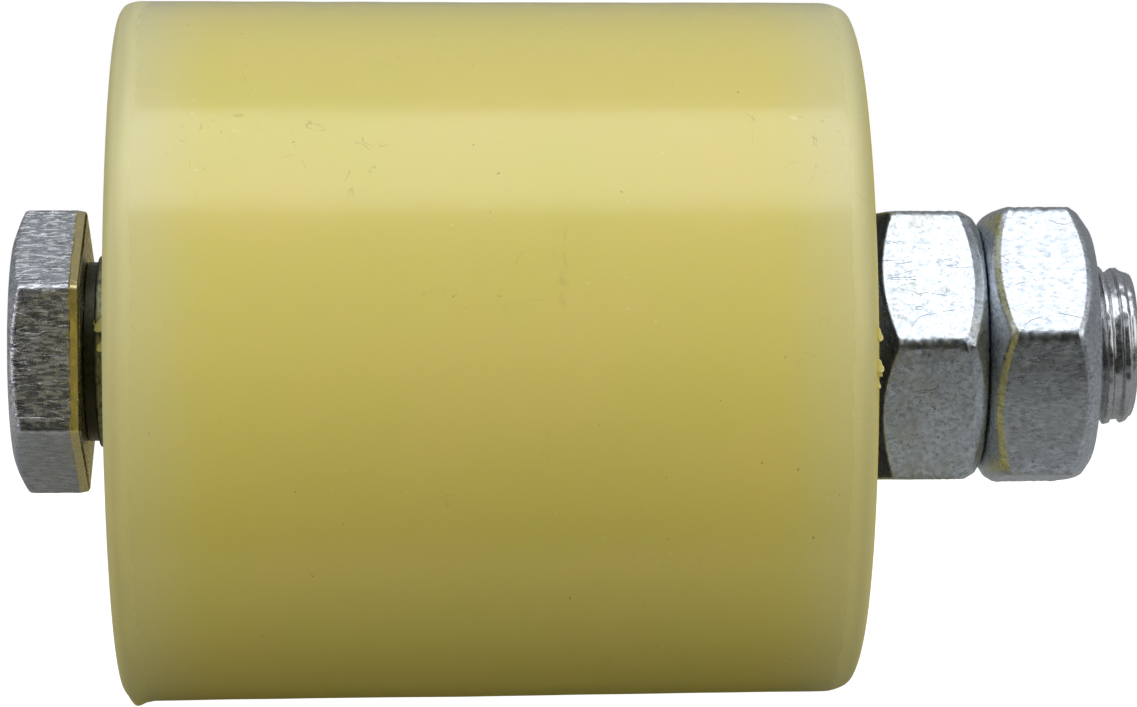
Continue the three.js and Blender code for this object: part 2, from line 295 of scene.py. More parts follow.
class Finish(Nodes):
    """A procedural material: a Principled shader whose texture runs in millimetres of the CAD frame."""

    def __init__(self, name, **values):
        self.material = bpy.data.materials.new(name)
        self.material.use_nodes = True
        super().__init__(self.material.node_tree)
        self.shader = self.tree.nodes["Principled BSDF"]
        for socket, value in values.items():
            self.shader.inputs[socket.replace("_", " ")].default_value = value
        coordinates = self.tree.nodes.new("ShaderNodeTexCoord")
        self.place = self.vector("SCALE", coordinates.outputs["Object"], scale=1 / MM)
        self.x, self.y, self.z = self.split(self.place)

    def vector(self, operation, a, b=None, scale=None):
        node = self.tree.nodes.new("ShaderNodeVectorMath")
        node.operation = operation
        self.link(a, node.inputs[0])
        if b is not None:
            self.link(b, node.inputs[1])
        if scale is not None:
            node.inputs["Scale"].default_value = scale
        return node.outputs["Value" if operation == "DISTANCE" else "Vector"]

    def join(self, x, y, z):
        node = self.tree.nodes.new("ShaderNodeCombineXYZ")
        for value, socket in zip((x, y, z), node.inputs):
            self.link(value, socket)
        return node.outputs[0]

    def noise(self, frequency, detail=3.0, roughness=0.5, place=None, distortion=0.0, shift=0.0):
        """Noise with so many cycles per millimetre, either one number or one for each axis."""
        stretch = frequency if isinstance(frequency, tuple) else (frequency,) * 3
        node = self.tree.nodes.new("ShaderNodeTexNoise")
        scaled = self.vector("MULTIPLY", self.place if place is None else place, stretch)
        if shift:
            scaled = self.vector("ADD", scaled, (shift, shift * 1.7, shift * 0.6))
        self.link(scaled, node.inputs["Vector"])
        node.inputs["Scale"].default_value = 1.0
        node.inputs["Detail"].default_value = detail
        node.inputs["Roughness"].default_value = roughness
        node.inputs["Distortion"].default_value = distortion
        return node.outputs["Fac"]

    def mix(self, share, a, b):
        node = self.tree.nodes.new("ShaderNodeMix")
        node.data_type = "RGBA"
        self.link(share, node.inputs["Factor"])
        self.link_colour(a, node.inputs[6])
        self.link_colour(b, node.inputs[7])
        return node.outputs[2]

    def bump(self, height, depth, under=None):
        """A relief of so many millimetres, over another one if under is given."""
        node = self.tree.nodes.new("ShaderNodeBump")
        node.inputs["Strength"].default_value = 1.0
        node.inputs["Distance"].default_value = depth * MM
        self.link(height, node.inputs["Height"])
        if under is not None:
            self.link(under, node.inputs["Normal"])
        return node.outputs["Normal"]

    def axis_distance(self):
        return self.math(
            "SQRT",
            self.math("ADD", self.math("MULTIPLY", self.x, self.x), self.math("MULTIPLY", self.z, self.z)),
        )

    def finish(self, **inputs):
        for socket, value in inputs.items():
            self.link(value, self.shader.inputs[socket.replace("_", " ")])
        return self.material


def hairlines(made, frequency, width, shift):
    """Thin wandering lines: 1 on a line, 0 elsewhere."""
    field = made.noise(frequency, detail=2.0, distortion=0.6, shift=shift)
    away = made.math("ABSOLUTE", made.math("SUBTRACT", field, 0.5))
    return made.spread(away, 0.0, width, 1.0, 0.0)


# ---- Materials --------------------------------------------------------------------------------------


def nylon_material():
    made = Finish("cast_nylon", Subsurface_Weight=0.3, Subsurface_Scale=0.0016, IOR=1.56)
    made.shader.inputs["Subsurface Radius"].default_value = (1.0, 0.75, 0.25)
    amber = (0.665, 0.565, 0.17)
    green = (0.645, 0.565, 0.16)
    pale = (0.615, 0.57, 0.295)
    rim_shade_tone = (0.53, 0.49, 0.25)
    dirt = (0.16, 0.14, 0.06)
    chalk = (0.80, 0.76, 0.52)
    cloud = made.spread(made.noise(0.09, detail=2.0), 0.38, 0.62)
    colour = made.mix(cloud, amber, green)
    grain = made.spread(made.noise((5.0, 2.5, 5.0), detail=2.0), 0.3, 0.7, 0.0, 0.10)
    colour = made.mix(grain, colour, pale)
    from_middle = made.math("ADD", made.math("ABSOLUTE", made.y), made.noise(0.12, detail=0.0))
    on_tread = made.spread(made.axis_distance(), 23.6, 24.4)
    # Painted light: the tread's colour is painted paler towards each end, standing in for the brighter,
    # paler look that light gives the ends.
    painted_pale_ends = made.math("MULTIPLY", made.spread(from_middle, 18.8, 26.4), on_tread)
    colour = made.mix(painted_pale_ends, colour, pale)
    # Painted shade: a darker band at each end of the tread, where the surface turns away from the lights.
    painted_rim_shade = made.math("MULTIPLY", made.spread(from_middle, 25.1, 26.0), on_tread)
    colour = made.mix(painted_rim_shade, colour, rim_shade_tone)
    worn_here = made.spread(made.noise(0.11, shift=9.0), 0.56, 0.64, 0.0, 0.5)
    for scuff in ((21.0, -18.5, 13.5), (21.0, -10.5, 13.5), (20.4, 20.5, 14.3)):
        away = made.vector("DISTANCE", made.place, scuff)
        worn_here = made.math("MAXIMUM", worn_here, made.spread(away, 2.5, 4.5, 1.0, 0.0))
    lines = made.math(
        "MAXIMUM",
        hairlines(made, (0.10, 0.17, 0.10), 0.004, 3.0),
        hairlines(made, (0.22, 0.15, 0.22), 0.006, 33.0),
    )
    broken_up = made.spread(made.noise(0.9, shift=13.0), 0.50, 0.60)
    scratches = made.math("MULTIPLY", made.math("MULTIPLY", lines, worn_here), broken_up)
    colour = made.mix(made.math("MULTIPLY", scratches, 0.35), colour, dirt)
    specks = made.spread(made.noise(1.7, detail=1.0, shift=21.0), 0.80, 0.815)
    colour = made.mix(made.math("MULTIPLY", specks, 0.5), colour, dirt)
    flecks = made.spread(made.noise((2.2, 1.1, 2.2), detail=2.0, shift=5.0), 0.72, 0.80, 0.0, 0.3)
    colour = made.mix(flecks, colour, chalk)
    roughness = made.spread(made.noise(0.7, detail=4.0), 0.3, 0.7, 0.14, 0.21)
    roughness = made.math("ADD", roughness, made.spread(from_middle, 24.4, 25.5, 0.0, 0.28))
    relief = made.bump(made.noise((0.6, 0.25, 0.6), detail=4.0, shift=2.0), 0.007)
    relief = made.bump(made.noise(3.5, detail=3.0, shift=4.0), 0.003, under=relief)
    relief = made.bump(made.math("SUBTRACT", 1.0, scratches), 0.012, under=relief)
    return made.finish(Base_Color=colour, Roughness=roughness, Normal=relief)


def head_wear(made, fine, colour):
    """The bolt head's own marks and its painted glints, as its colour and the height of its fine relief.

    The flats at mid height are ridged, the low side is smoother, and the edge beside the roller is
    smoothed and painted yellow, a painted reflection of the nylon roller.
    """
    above_low_side = made.spread(made.z, -6.2, -4.7)
    below_top_side = made.spread(made.z, 3.6, 4.4, 1.0, 0.0)
    middle = made.math("MULTIPLY", above_low_side, below_top_side)
    ridges = made.noise((5.0, 0.75, 5.0), detail=3.0, roughness=0.6, shift=21.0)
    dark_ridges = made.math("MULTIPLY", made.spread(ridges, 0.44, 0.56, 1.0, 0.0), middle)
    colour = made.mix(dark_ridges, colour, (0.40, 0.40, 0.46))
    light_ridges = made.math("MULTIPLY", made.spread(ridges, 0.48, 0.57), middle)
    colour = made.mix(light_ridges, colour, (0.98, 0.96, 1.0))
    rough_side = made.spread(made.z, -6.2, -4.7, 0.10, 1.0)
    # Painted glints: small near-white spots in the colour of the upper and middle flats.
    painted_glints = made.spread(made.noise((4.5, 1.2, 4.5), detail=1.0, shift=24.0), 0.53, 0.61)
    colour = made.mix(made.math("MULTIPLY", painted_glints, rough_side), colour, (0.97, 0.97, 0.97))
    raggedness = made.spread(made.noise(1.6, detail=3.0), 0.3, 0.7, -0.04, 0.04)
    ragged_y = made.math("ADD", made.y, raggedness)
    # The edge beside the roller: its relief is smoother, and its yellow colour is a painted reflection of
    # the nylon roller.
    smooth_edge_painted_reflection = made.spread(ragged_y, HEAD_BEARING_PLANE - 0.80, HEAD_BEARING_PLANE - 0.66)
    kept = made.math("SUBTRACT", 1.0, made.math("MULTIPLY", smooth_edge_painted_reflection, 0.9))
    height = made.math("MULTIPLY", fine, made.math("MULTIPLY", rough_side, kept))
    return made.mix(smooth_edge_painted_reflection, colour, (0.80, 0.70, 0.40)), height


def zinc_material(
    name, grain, relief_depth, tone, rough=(0.24, 0.40), stain=0.0, pits=0.0, seed=0.0, is_head=False
):
    """Bright zinc plating. grain is the cycles per millimetre along x, y and z."""
    made = Finish(name, Metallic=1.0)
    fine = made.noise(grain, detail=5.0, roughness=0.7, shift=seed + 1.0)
    colour = made.mix(made.spread(fine, 0.36, 0.58), tuple(value * 0.55 for value in tone), tone)
    blotch = made.noise(0.9, detail=5.0, roughness=0.65, shift=seed + 4.0)
    blotchy = made.spread(blotch, 0.42, 0.62, 0.0, 0.6)
    colour = made.mix(blotchy, colour, tuple(value * 0.78 for value in tone))
    yellowed = made.spread(made.noise(0.45, detail=4.0, shift=seed + 7.0), 0.50, 0.64, 0.0, stain)
    colour = made.mix(yellowed, colour, (0.46, 0.43, 0.30))
    pit = made.noise(2.9, detail=3.0, roughness=0.6, shift=seed + 12.0)
    colour = made.mix(made.spread(pit, 0.64, 0.69, 0.0, pits), colour, (0.06, 0.06, 0.055))
    roughness = made.spread(made.noise(1.3, detail=4.0, shift=seed + 2.0), 0.3, 0.7, *rough)
    height = fine
    if is_head:
        colour, height = head_wear(made, fine, colour)
    relief = made.bump(made.noise(0.4, detail=2.0, shift=seed + 6.0), 0.05)
    relief = made.bump(height, relief_depth, under=relief)
    scratches = hairlines(made, (0.5, 0.16, 0.5), 0.006, seed + 15.0)
    scratched_here = made.spread(made.noise(0.3, shift=seed + 18.0), 0.5, 0.58)
    relief = made.bump(made.math("MULTIPLY", scratches, scratched_here), 0.012, under=relief)
    return made.finish(Base_Color=colour, Roughness=roughness, Normal=relief)


def turned_steel_material(name, tone, relief_depth, rough):
    """Steel with fine marks round the axis, as left by turning, grinding or thread rolling."""
    made = Finish(name, Metallic=1.0)
    section = made.join(made.axis_distance(), made.y, 0.0)
    rings = made.noise((9.0, 9.0, 1.0), detail=3.0, place=section)
    spots = made.noise(2.4, detail=4.0, roughness=0.6)
    colour = made.mix(made.spread(spots, 0.35, 0.7), tuple(value * 0.78 for value in tone), tone)
    roughness = made.spread(spots, 0.3, 0.7, *rough)
    relief = made.bump(rings, relief_depth)
    relief = made.bump(spots, relief_depth * 1.4, under=relief)
    return made.finish(Base_Color=colour, Roughness=roughness, Normal=relief)


def oil_and_shade_steel_material():
    """Turned sleeves under old oil, olive partly as a painted reflection of the nylon, and painted
    near-black shade by the bolt's head.
    """
    made = Finish("oil_and_painted_shade_steel", Metallic=0.55)
    section = made.join(made.axis_distance(), made.y, 0.0)
    rings = made.noise((7.0, 7.0, 1.0), detail=3.0, place=section)
    film = made.noise(1.6, detail=5.0, roughness=0.7)
    # The film runs from dark to olive; the olive is partly oil and partly a painted reflection of the
    # yellow nylon.
    colour = made.mix(made.spread(film, 0.38, 0.60), (0.10, 0.10, 0.06), (0.36, 0.35, 0.19))
    colour = made.mix(made.spread(rings, 0.55, 0.66, 0.0, 0.7), colour, (0.05, 0.05, 0.035))
    # Painted shade: near black close to the bolt's head, in the shadow of the gap between head and roller.
    painted_neck_shade = made.spread(made.y, HEAD_BEARING_PLANE + 0.75, HEAD_BEARING_PLANE + 1.25, 0.9, 0.0)
    colour = made.mix(painted_neck_shade, colour, (0.018, 0.018, 0.012))
    roughness = made.spread(film, 0.35, 0.65, 0.26, 0.5)
    relief = made.bump(rings, 0.012)
    relief = made.bump(film, 0.04, under=relief)
    return made.finish(Base_Color=colour, Roughness=roughness, Normal=relief)


def rubber_material():
    made = Finish("seal_rubber", IOR=1.5)
    dust = made.spread(made.noise(1.2, detail=5.0, roughness=0.65), 0.45, 0.75, 0.0, 0.45)
    colour = made.mix(dust, (0.012, 0.012, 0.013), (0.075, 0.07, 0.058))
    roughness = made.spread(made.noise(2.5, detail=3.0), 0.3, 0.7, 0.45, 0.65)
    relief = made.bump(made.noise(5.0, detail=2.0), 0.006)
    return made.finish(Base_Color=colour, Roughness=roughness, Normal=relief)


nylon = nylon_material()
head_zinc = zinc_material(
    "head_zinc", (4.6, 1.0, 4.6), 0.07, (0.54, 0.56, 0.59), (0.2, 0.34), stain=0.18, pits=0.4, is_head=True
)
inner_nut_zinc = zinc_material(
    "inner_nut_zinc", (3.2, 2.6, 3.2), 0.020, (0.70, 0.75, 0.80), stain=0.3, pits=0.5, seed=31.0
)
outer_nut_zinc = zinc_material(
    "outer_nut_zinc", (4.2, 1.8, 4.2), 0.026, (0.69, 0.735, 0.79), stain=0.1, pits=0.35, seed=57.0
)
thread_zinc = turned_steel_material("thread_zinc", (0.66, 0.67, 0.68), 0.006, (0.20, 0.36))
collar_steel = oil_and_shade_steel_material()
ground_steel = turned_steel_material("ground_steel", (0.60, 0.60, 0.61), 0.003, (0.16, 0.28))
polished_steel = turned_steel_material("polished_steel", (0.66, 0.66, 0.67), 0.0006, (0.05, 0.12))
pressed_steel = zinc_material(
    "pressed_steel", (1.5, 1.5, 1.5), 0.006, (0.50, 0.50, 0.50), stain=0.15, seed=80.0
)
rubber = rubber_material()

# ---- Roller -----------------------------------------------------------------------------------------


def roller_part():
    """The moulded shell: tread, eased ends, end faces, two bearing seats and the bore between them."""
    columns = 384
    angles = even_angles(columns)
    seat, bore, shoulder, lead_in = 16.05, 13.5, 14.95, 0.8
    corners = [
        (seat + lead_in, -ROLLER_END),
        (24.35, -ROLLER_END),
        (HEAD_END_RADIUS - 0.26, -25.85),
        (HEAD_END_RADIUS, -25.05),
        (NUT_END_RADIUS, ROLLER_END - 1.75),
        (NUT_END_RADIUS - 0.5, ROLLER_END - 0.5),
        (NUT_END_RADIUS - 1.8, ROLLER_END),
        (seat + lead_in, ROLLER_END),
        (seat, ROLLER_END - lead_in),
        (seat, shoulder),
        (bore, shoulder),
        (bore, -shoulder),
        (seat, -shoulder),
        (seat, -ROLLER_END + lead_in),
    ]
    rounds = [0.15, 0.22, 0.3, 0.35, 0.7, 0.55, 0.7, 0.15, 0.15, 0.1, 0.2, 0.2, 0.1, 0.15]
    rows = refined(rounded(corners, rounds, columns), 0.55)
    radius, y = rows[:, 0], rows[:, 1]
    around = angles[None, :]
    on_outside = smooth_step(radius, 23.2, 24.2)
    radius += on_outside * 0.022 * ripple(5, y, around, 24, most_turns=5)
    radius += on_outside * 0.007 * ripple(6, y, around, 4.5, most_turns=26, waves=16)
    uneven = smooth_step(-y, 25.3, 26.0) * on_outside
    radius += uneven * 0.004 * ripple(8, y, around, 1.6, most_turns=90, waves=18)
    uneven = smooth_step(y, 25.2, 26.1) * on_outside
    radius += uneven * 0.004 * ripple(9, y, around, 1.6, most_turns=80, waves=18)
    # A nib of flash where the mould's halves met, low on the head end
    nib_angle = math.radians(-87)
    turn = (around - nib_angle + math.pi) % (2 * math.pi) - math.pi
    nib = np.exp(-((turn * HEAD_END_RADIUS / 0.7) ** 2) - ((y + 25.3) / 0.55) ** 2)
    radius += on_outside * 0.42 * nib
    y -= on_outside * 0.12 * nib
    return turned(rows, angles)


add_piece("nylon_roller", [roller_part()], [nylon], "roller", ["roller_body"])


def flake_part(start, heading, side, length, width, curl, thickness=0.07):
    """A thin curled shaving that grows from start along heading, flat across side."""
    heading, side = (np.array(v, float) / np.linalg.norm(v) for v in (heading, side))
    lift = np.cross(heading, side)
    around = even_angles(10)
    rows = []
    place = np.array(start, float)
    steps = 12
    for i in range(steps):
        share = i / (steps - 1)
        bend = curl * share
        forward = heading * math.cos(bend) + lift * math.sin(bend)
        normal = lift * math.cos(bend) - heading * math.sin(bend)
        bulge = math.sin(math.pi * (0.12 + 0.8 * share)) * (1 + 0.25 * math.sin(9 * share))
        half = width / 2 * (0.25 + bulge)
        rows.append(
            [place + side * half * math.cos(a) + normal * thickness / 2 * math.sin(a) for a in around]
        )
        place = place + forward * length / steps
    return swept(np.array(rows), False)


# Shavings that still hang on the roller's rim at the nut end
rim_flakes = [
    flake_part((23.5, 25.85, 1.3), (0.1, 0.45, -0.9), (0.3, 0.8, 0.5), 1.15, 0.42, 0.4),
    flake_part((23.5, 25.85, -0.9), (0.1, 0.5, -0.85), (0.3, 0.8, 0.5), 1.1, 0.5, 0.5),
    flake_part((23.5, 25.85, -1.9), (0.2, 0.8, 0.2), (0.5, -0.2, 0.8), 0.6, 0.4, 1.0),
    flake_part((23.5, 25.85, -2.3), (0.1, 0.5, -0.85), (0.3, 0.8, 0.5), 0.7, 0.3, 0.5),
]
add_piece("rim_shavings", rim_flakes, [nylon], "roller")

# ---- Bearings ---------------------------------------------------------------------------------------


def raceway(shoulder, steps=12):
    """A ring's raceway as (radius, y) corners, towards +Y. shoulder is the ring's radius beside it."""
    side = math.copysign(1, shoulder - PITCH_RADIUS)
    half_width = math.sqrt(GROOVE_RADIUS**2 - (shoulder - PITCH_RADIUS) ** 2)
    edge = math.asin(half_width / GROOVE_RADIUS)
    return [
        (PITCH_RADIUS + side * GROOVE_RADIUS * math.cos(a), GROOVE_RADIUS * math.sin(a))
        for a in np.linspace(-edge, edge, steps)
    ]


def ring_part(is_inner, centre):
    """One bearing ring, with eased outer edges and a raceway."""
    if is_inner:
        bore, shoulder = 6.0, 9.15
        track = raceway(shoulder)
        corners = [
            (bore, -BEARING_HALF), (shoulder, -BEARING_HALF),
            *track,
            (shoulder, BEARING_HALF), (bore, BEARING_HALF),
        ]
        rounds = [0.5, 0.15, *[0] * len(track), 0.15, 0.5]
    else:
        outside, seal_seat, shoulder, seal_step = 16, 13.9, 12.9, 3.85
        track = raceway(shoulder)[::-1]
        corners = [
            (outside, -BEARING_HALF), (outside, BEARING_HALF),
            (seal_seat, BEARING_HALF), (seal_seat, seal_step), (shoulder, seal_step),
            *track,
            (shoulder, -seal_step), (seal_seat, -seal_step), (seal_seat, -BEARING_HALF),
        ]
        rounds = [0.5, 0.5, 0.12, 0, 0.1, *[0] * len(track), 0.1, 0, 0.12]
    return plain_ring(corners, rounds, centre)


def seal_part(outward, centre):
    """A moulded seal: a thick rim in the outer ring, a thin web and a lip beside the inner ring."""
    corners = [
        (9.3, 4.05), (9.45, 4.5), (9.95, 4.58), (10.25, 4.32), (12.35, 4.32), (12.75, 4.58),
        (13.8, 4.58), (13.8, 3.92), (12.9, 3.92), (12.5, 4.02), (10.2, 4.02), (9.9, 3.92),
    ]
    corners = [(radius, outward * y) for radius, y in corners]
    return plain_ring(corners, [0.1] * len(corners), centre)


def on_pitch_circle(angle, centre):
    return [PITCH_RADIUS * math.cos(angle), centre, -PITCH_RADIUS * math.sin(angle)]


def ball_part(angle, centre):
    rows, columns = 25, 40
    latitude = np.linspace(-math.pi / 2, math.pi / 2, rows + 2)[1:-1]
    around = even_angles(columns)
    height = np.sin(latitude)[:, None] * np.ones(columns)
    width = np.cos(latitude)[:, None]
    points = np.stack([width * np.cos(around), height, width * np.sin(around)], axis=-1) * BALL_RADIUS
    points += on_pitch_circle(angle, centre)
    return swept(points, False)


def ribbon_part(side, centre):
    """Half of a pressed ribbon cage: flat between the balls and cupped round each of them."""
    rows = 420
    around = np.linspace(0, 2 * math.pi, rows, endpoint=False)
    radii = np.linspace(10.12, 11.88, 6)
    pitch = 2 * math.pi / BALLS
    from_ball = (around + pitch / 2) % pitch - pitch / 2
    along = 2 * radii[None, :] * np.sin(from_ball / 2)[:, None]
    apart = np.hypot(along, radii[None, :] - PITCH_RADIUS)

    def cup(ball_clearance, flat):
        dome = np.sqrt(np.clip(ball_clearance**2 - apart**2, 0, None))
        return np.sqrt(np.maximum(dome, flat) ** 2 + 0.01)

    outer, inner = cup(3.5, 0.47), cup(3.06, 0.03)
    height = np.concatenate([outer, inner[:, ::-1]], axis=1) * side
    radius = np.concatenate([radii, radii[::-1]])[None, :]
    points = np.stack(
        [radius * np.cos(around)[:, None], height + centre, -radius * np.sin(around)[:, None]], axis=-1
    )
    return swept(points, True)


def rivet_part(angle, centre):
    """A rivet through both halves of the cage, with a domed head at each end."""
    columns = 20
    profile = [(0.08, -0.86), (0.42, -0.8), (0.62, -0.52), (0.62, 0.52), (0.42, 0.8), (0.08, 0.86)]
    around = even_angles(columns)
    rows = rounded(profile, [0, 0.12, 0.12, 0.12, 0.12, 0], columns, closed=False)
    radius, y = rows[:, 0], rows[:, 1]
    points = np.stack([radius * np.cos(around), y, radius * np.sin(around)], axis=-1)
    points += on_pitch_circle(angle, centre)
    return swept(points, False)


for name, side, cage_body in (("head_bearing", -1, "head_cage"), ("nut_bearing", 1, "nut_cage")):
    centre = side * (BEARING_FACE - BEARING_HALF)
    add_piece(
        f"{name}_race_inner", [ring_part(True, centre)], [ground_steel], "axle",
        [f"{name}_inner_ring"],
    )
    add_piece(
        f"{name}_race_outer", [ring_part(False, centre)], [ground_steel], "roller",
        [f"{name}_outer_ring"],
    )
    for place, outward in (("outboard", side), ("inboard", -side)):
        add_piece(
            f"{name}_lip_seal_{place}", [seal_part(outward, centre)], [rubber], "roller",
            [f"{name}_{place}_seal"],
        )
    between = [2 * math.pi * (i + 0.5) / BALLS for i in range(BALLS)]
    ribbon = [ribbon_part(1, centre), ribbon_part(-1, centre)]
    rivets = [rivet_part(angle, centre) for angle in between]
    add_piece(
        f"{name}_ribbon_cage", ribbon + rivets, [pressed_steel], cage_body,
        [f"{name}_cage"],
    )
    for i in range(BALLS):
        add_piece(
            f"{name}_rolling_ball_{i + 1}",
            [ball_part(2 * math.pi * i / BALLS, centre)],
            [polished_steel],
            cage_body,
            [f"{name}_ball_{i + 1}"],
        )

# ---- Bolt, nuts, collars and spacer -----------------------------------------------------------------

# Columns crowd together at a hexagon's corners, in degrees from each corner
CORNER_OFFSETS = (0.35, 0.7, 1.1, 1.5, 2.0, 2.6, 3.4, 4.6, 6.2, 8.4, 11, 14, 17.5, 21.5, 25.5)


def hex_angles(first_corner):
    degrees = []
    for i in range(6):
        corner = first_corner + 60 * i
        degrees += [corner, corner + 30]
        degrees += [corner + offset for offset in CORNER_OFFSETS]
        degrees += [corner - offset for offset in CORNER_OFFSETS]
    return np.radians(np.sort(degrees))


def hex_radius(angles, first_corner, across_flats, corner_round):
    """Distance from the axis to a hexagon whose corners are rounded."""
    sector = math.radians(60)
    to_corner = np.abs((angles - math.radians(first_corner) + sector / 2) % sector - sector / 2)
    flat = across_flats / 2 / np.cos(sector / 2 - to_corner)
    middle = (across_flats / 2 - corner_round) / math.cos(sector / 2)
    across = middle * np.sin(to_corner)
    arc = middle * np.cos(to_corner) + np.sqrt(np.clip(corner_round**2 - across**2, 0, None))
    round_starts = math.atan2((across_flats / 2 - corner_round) * math.tan(sector / 2), across_flats / 2)
    return np.where(to_corner < sector / 2 - round_starts, arc, flat)


def thread_radius(angles, y, depth=1.0):
    """A right-hand thread about +Y: flat crests, straight flanks and eased roots."""
    phase = (y / THREAD_PITCH + angles / (2 * math.pi)) % 1
    from_crest = np.abs(phase - 0.5) * 2
    flank = np.clip((0.80 - from_crest) / 0.58, 0, 1)
    ridge = 0.55 * flank + 0.45 * smooth_step(flank, 0, 1)
    return THREAD_CREST - (THREAD_CREST - THREAD_ROOT) * (1 - ridge) * depth


def bolt_part():
    angles = hex_angles(FIRST_HEAD_CORNER)
    columns = len(angles)
    hexagon = hex_radius(angles, FIRST_HEAD_CORNER, HEAD_FLATS, 0.55)
    hexagon = hexagon + 0.02 * ripple(21, 0, angles, 5, most_turns=9)
    face_radius = HEAD_FLATS / 2 * 0.91
    crease = HEAD_OUTER + (hexagon - face_radius) * math.tan(math.radians(21))
    # Towards the roller the flats taper in a little, and the last edge is eased
    taper, eased = 0.62, 0.12
    taper_end = HEAD_BEARING_PLANE - eased
    tapered = hexagon - taper * 0.18
    head_corners = [
        (0.1, HEAD_OUTER + 0.1),
        (5.2, HEAD_OUTER + 0.1),
        (face_radius - 0.5, HEAD_OUTER),
        (face_radius, HEAD_OUTER + 0.02),
        (hexagon, crease),
        (hexagon, taper_end - taper),
        (tapered, taper_end),
        (tapered - 0.2, HEAD_BEARING_PLANE),
        (SHANK_RADIUS, HEAD_BEARING_PLANE),
        (SHANK_RADIUS, THREAD_START - 1.2),
    ]
    rounds = [0, 1.2, 0.3, 0.35, 0.3, 0.05, 0.06, 0.06, 0.02, 0]
    head = refined(rounded(head_corners, rounds, columns, closed=False), 0.5, closed=False)
    radius, y = head[:, 0], head[:, 1]
    worn = smooth_step(radius, 7.5, 8.5)
    radius += worn * 0.018 * ripple(22, y, angles[None, :], 3.0, most_turns=22, waves=16)
    radius += worn * 0.010 * ripple(24, y, angles[None, :], 0.9, most_turns=110, waves=24)

    y = np.arange(THREAD_START - 1.1, BOLT_END - 0.12, THREAD_PITCH / ROWS_PER_PITCH)
    y = y[:, None] * np.ones(columns)
    depth = smooth_step(y, THREAD_START - 1.2, THREAD_START + 1.4)
    radius = thread_radius(angles[None, :], y, depth)
    radius += (SHANK_RADIUS - THREAD_CREST) * (1 - depth)
    # Past the nuts the thread is knocked about: its crests are flattened and its roots are part filled
    worn_end = smooth_step(y, OUTER_NUT[1] + 0.6, OUTER_NUT[1] + 1.6)
    radius += worn_end * (np.clip(radius, THREAD_ROOT + 0.3, THREAD_CREST - 0.12) - radius)
    battered = smooth_step(y, OUTER_NUT[1], OUTER_NUT[1] + 0.4)
    radius += battered * 0.035 * ripple(31, y, angles[None, :], 1.1, most_turns=34, waves=20)
    # The point is a quarter ellipse, blended smoothly into the thread
    point_length = 1.6
    to_end = np.clip(BOLT_END - y, 0, point_length)
    point = 4.55 + 1.45 * np.sqrt(1 - (1 - to_end / point_length) ** 2)
    clear_of_thread = THREAD_CREST + 2.25
    point = np.where(BOLT_END - y > point_length, clear_of_thread, point)
    radius = point - np.log1p(np.exp((point - radius) * 9)) / 9
    thread = np.stack([radius, y], axis=1)
    # The end face, as (share of the last radius, drop from the end): an eased rim and a shallow dimple
    end_face = (
        (0.985, 0.06), (0.965, 0.02), (0.93, 0.0), (0.90, 0.0), (0.5, 0.0), (0.45, 0.03), (0.08, 0.05),
    )
    end_rows = np.array(
        [[radius[-1] * share, np.full(columns, BOLT_END - drop)] for share, drop in end_face]
    )
    rows = np.concatenate([head, thread, end_rows])
    slots = (rows[:, 1].mean(axis=1) > HEAD_BEARING_PLANE + 0.01).astype(int)
    return turned(rows, angles, closed=False, slots=slots)


def chamfer_section(hexagon, face_share, degrees, band, band_depth):
    """A chamfer as (radius, distance from the nut's end) corners, from the end face to the flat.

    It is a cone at so many degrees to the end face, then a narrower band that turns over to the flats.
    """
    face_radius = NUT_FLATS / 2 * face_share
    cone = (hexagon - band_depth - face_radius) * math.tan(math.radians(degrees))
    return [(face_radius, 0), (hexagon - band_depth, cone), (hexagon, cone + band)]


def nut_part(ends, first_corner, start_chamfer, end_chamfer, seed):
    """A hexagon nut: both ends are chamfered and countersunk, and its thread fits the bolt."""
    angles = hex_angles(first_corner)
    columns = len(angles)
    start, end = ends
    hexagon = hex_radius(angles, first_corner, NUT_FLATS, 0.95)
    hexagon = hexagon + 0.02 * ripple(seed, 0, angles, 5, most_turns=8)
    at_start = chamfer_section(hexagon, **start_chamfer)
    at_end = chamfer_section(hexagon, **end_chamfer)
    countersink = 6.3
    corners = [(countersink, start)]
    corners += [(radius, start + drop) for radius, drop in at_start]
    corners += [(radius, end - drop) for radius, drop in at_end[::-1]]
    corners.append((countersink, end))
    outside = rounded(corners, [0.1, 0.3, 0.2, 0.1, 0.1, 0.2, 0.3, 0.1], columns, closed=False)
    outside = refined(outside, 0.16, closed=False)
    radius, y = outside[:, 0], outside[:, 1]
    around = angles[None, :]
    on_side = smooth_step(radius, 8.4, 9.2)
    radius += on_side * 0.012 * ripple(seed + 1, y, around, 3.5, most_turns=20, waves=14)
    radius += on_side * 0.006 * ripple(seed + 2, y, around, 0.9, most_turns=120, waves=24)
    on_corner = smooth_step(radius, 10.3, 10.7)
    radius += on_corner * 0.018 * ripple(seed + 3, y, around, 0.45, most_turns=40, waves=24)

    thread_rows = int((end - start) / THREAD_PITCH * ROWS_PER_PITCH)
    y = np.linspace(end - 0.06, start + 0.06, thread_rows)[:, None] * np.ones(columns)
    radius = np.maximum(thread_radius(around, y) + 0.06, 5.3)
    to_face = np.minimum(end - y, y - start)
    radius = np.maximum(radius, 6.25 - to_face * 1.1)
    inside = np.stack([radius, y], axis=1)
    return turned(np.concatenate([outside, inside]), angles)


def tube_part(corners, rounds):
    """A turned sleeve on the bolt: its outside corners run from its -Y end to its +Y end."""
    corners = [(COLLAR_BORE, corners[0][1]), *corners, (COLLAR_BORE, corners[-1][1])]
    return plain_ring(corners, [0.12, *rounds, 0.12])


add_piece("zinc_bolt", [bolt_part()], [head_zinc, thread_zinc], "axle", ["hex_bolt"])

